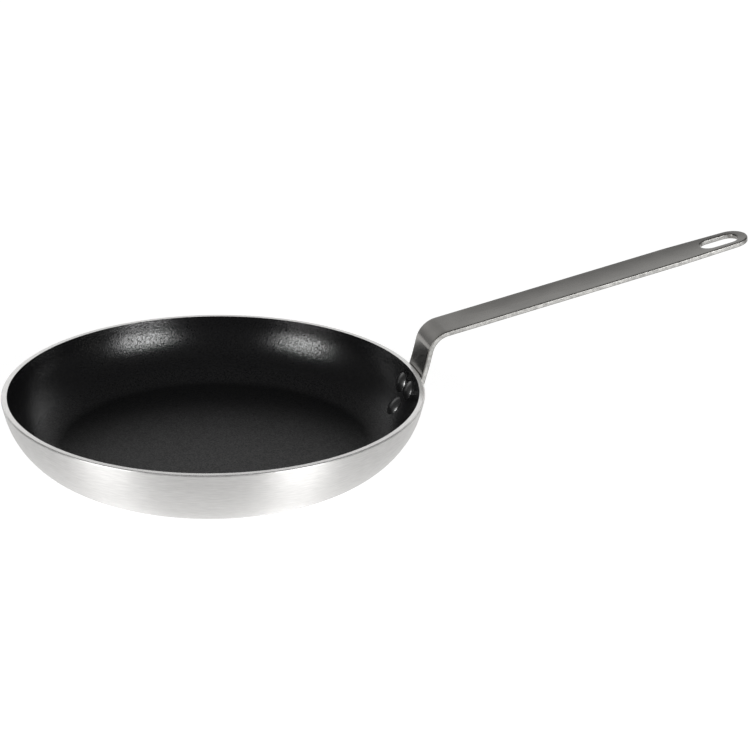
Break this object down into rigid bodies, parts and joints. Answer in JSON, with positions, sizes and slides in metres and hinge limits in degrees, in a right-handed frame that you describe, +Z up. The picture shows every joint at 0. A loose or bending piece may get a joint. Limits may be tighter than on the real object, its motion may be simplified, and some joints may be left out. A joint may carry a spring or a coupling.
{
  "type": "omelette pan",
  "caption": "shallow round aluminium pan with curved sides, a non-stick layer inside, and a bent steel strip handle with a hanging slot, held by rivets",
  "frame": {"origin": "centre of the flat base, on the surface that the pan stands on", "axes": "+Z up out of the pan, +X from the pan towards the tip of the handle, +Y to the right of the cook who holds the handle and looks along -X at the pan"},
  "size_m": [0.4455, 0.2396, 0.1102],
  "materials": {
    "pan_aluminium": "satin, brushed round the wall, with turned rings under the base",
    "nonstick_black": "fluoropolymer layer, black, slightly dimpled, with fine metallic specks",
    "handle_steel": "dark grey rolled skin, half gloss, with bright tumbled edges",
    "rivet_black": "black, under the same layer as the inside of the pan, half gloss"
  },
  "bodies": {
    "root": {"pan_body": "pan_aluminium", "nonstick_coating": "nonstick_black", "handle": "handle_steel", "rivet_upper_left": "rivet_black", "rivet_upper_right": "rivet_black", "rivet_lower": "rivet_black"}
  },
  "joints": []
}
